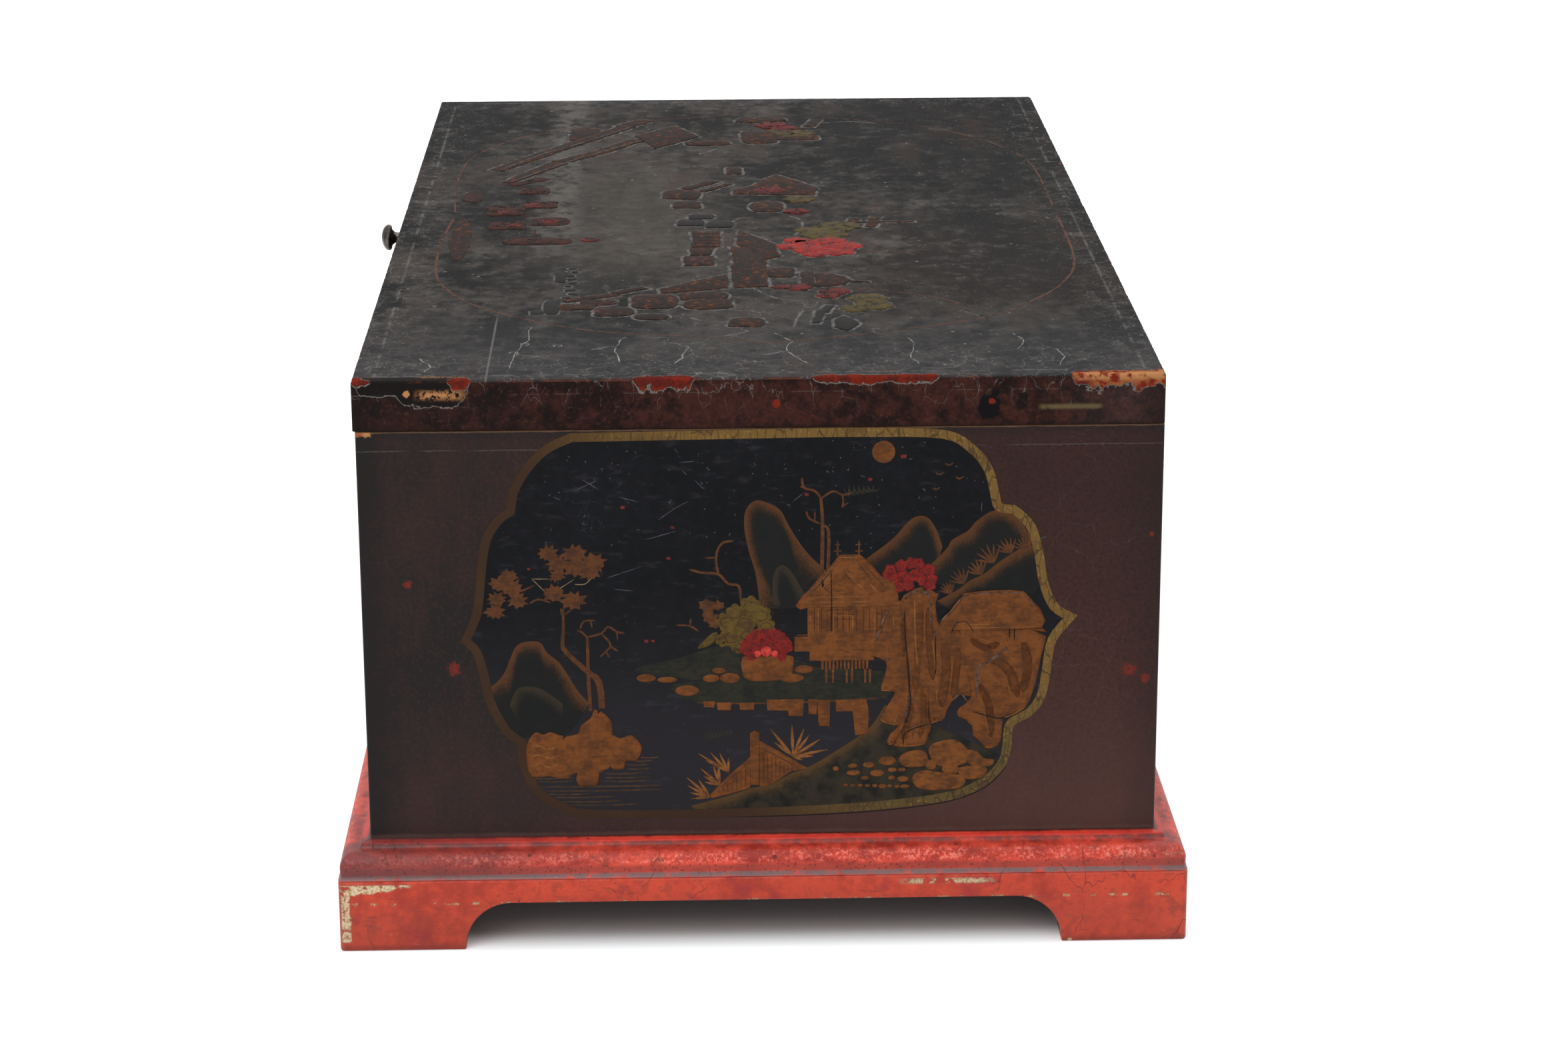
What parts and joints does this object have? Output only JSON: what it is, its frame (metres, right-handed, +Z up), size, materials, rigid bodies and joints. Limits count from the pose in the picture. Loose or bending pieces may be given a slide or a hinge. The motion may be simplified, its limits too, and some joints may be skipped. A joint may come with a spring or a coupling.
{
  "type": "deed box",
  "caption": "Long rectangular lacquered box with a hinged flat lid, small front knob, inset box lock and moulded plinth on bracket feet, for papers and keepsakes.",
  "frame": {"origin": "on the floor, under the middle of the box and its plinth", "axes": "+X along the length to the right-hand end, -Y towards the front with knob and keyhole, +Z up"},
  "size_m": [0.637, 0.357, 0.245],
  "materials": {
    "black_lacquer": "worn black lacquer on gessoed pine, dusty satin",
    "brown_lacquer": "dark red-brown lacquer, cracked, with raised gilt panels",
    "red_lacquer": "worn red lacquer over pale gesso, grimy in the hollows",
    "bare_pine": "unfinished old pine",
    "lock_iron": "dark wrought iron, oiled",
    "old_brass": "aged brass, dull",
    "dark_bronze": "dark patinated brass, satin"
  },
  "bodies": {
    "carcass": {"front_board": "brown_lacquer", "back_board": "brown_lacquer", "left_end_board": "brown_lacquer", "right_end_board": "brown_lacquer", "bottom_board": "bare_pine", "bottom_nails": "lock_iron", "front_apron": "red_lacquer", "back_apron": "red_lacquer", "left_apron": "red_lacquer", "right_apron": "red_lacquer", "front_moulding": "red_lacquer", "back_moulding": "red_lacquer", "left_moulding": "red_lacquer", "right_moulding": "red_lacquer", "moulding_pins": "lock_iron", "corner_blocks": "bare_pine", "rub_blocks": "bare_pine", "left_lower_leaf": "old_brass", "right_lower_leaf": "old_brass", "left_hinge_pin": "old_brass", "right_hinge_pin": "old_brass", "lower_leaf_screws": "old_brass", "lock_plate": "lock_iron", "lock_selvedge": "lock_iron", "lock_case": "lock_iron", "lock_cap": "lock_iron", "lock_studs": "lock_iron", "drill_pin": "lock_iron", "lock_ward": "lock_iron", "lock_screws": "lock_iron", "escutcheon": "old_brass", "escutcheon_pins": "old_brass"},
    "lid": {"lid_top_board": "black_lacquer", "lid_front_rim": "black_lacquer", "lid_back_rim": "black_lacquer", "lid_left_rim": "brown_lacquer", "lid_right_rim": "brown_lacquer", "lid_nails": "lock_iron", "lid_knob": "dark_bronze", "left_upper_leaf": "old_brass", "right_upper_leaf": "old_brass", "upper_leaf_screws": "old_brass", "link_plate": "lock_iron", "link_plate_screws": "lock_iron"},
    "bolt": {"lock_bolt": "lock_iron", "back_spring": "lock_iron"}
  },
  "joints": [
    {"name": "lid_hinge", "type": "hinge", "parent": "carcass", "child": "lid", "pos_m": [0, 0.1676, 0.22325], "axis": [-1, 0, 0], "range_deg": [0, 100]},
    {"name": "bolt_slide", "type": "slide", "parent": "carcass", "child": "bolt", "axis": [1, 0, 0], "range_m": [0, 0.0065]}
  ]
}
